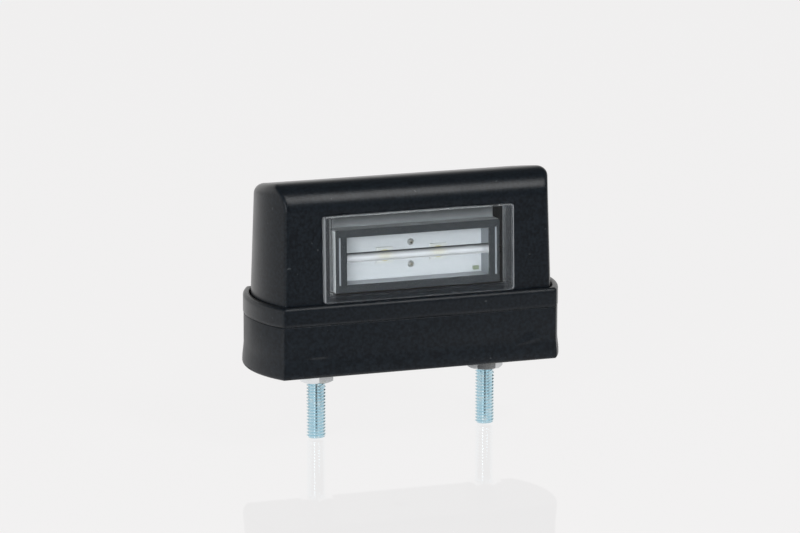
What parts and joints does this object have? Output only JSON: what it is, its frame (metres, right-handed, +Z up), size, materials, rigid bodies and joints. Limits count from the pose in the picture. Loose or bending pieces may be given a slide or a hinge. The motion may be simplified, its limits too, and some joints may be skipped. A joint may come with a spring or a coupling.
{
  "type": "number plate lamp",
  "caption": "Hooded LED number plate lamp: black drafted hood with a clear front lens, collar and rubber boot, fixed from below by threaded studs and nuts.",
  "frame": {"origin": "middle of the two studs, on the underside of the base, at the mouth of the cable inlet", "axes": "+Z up through the hood, -Z along the studs, X along the lamp's width, lens facing -Y"},
  "size_m": [0.1002, 0.0366, 0.0826],
  "materials": {
    "hood_plastic": "satin moulded black",
    "clear_lens": "clear moulded",
    "boot_rubber": "satin black",
    "zinc_steel": "bright zinc plate with a blue cast",
    "bezel_plastic": "moulded black",
    "reflector_plastic": "pale grey",
    "board_white": "white solder mask",
    "led_white": "white",
    "led_phosphor": "yellow silicone",
    "tinned_brass": "tinned",
    "solder": "bright solder",
    "chip_black": "moulded black",
    "chip_brown": "fired ceramic"
  },
  "bodies": {
    "root": {"hood": "hood_plastic", "base_carrier": "hood_plastic", "lens": "clear_lens", "rubber_boot": "boot_rubber", "hood_seal": "boot_rubber", "cable_grommet": "boot_rubber", "mounting_studs": "zinc_steel", "mounting_nuts": "zinc_steel", "hood_screws": "zinc_steel", "window_bezel": "bezel_plastic", "reflector_frame": "reflector_plastic", "circuit_board": "board_white", "led_packages": "led_white", "led_phosphors": "led_phosphor", "terminal_pins": "tinned_brass", "solder_joints": "solder", "board_diode": "chip_black", "driver_chip": "chip_black", "board_resistors": "chip_black", "board_capacitors": "chip_brown"}
  },
  "joints": []
}
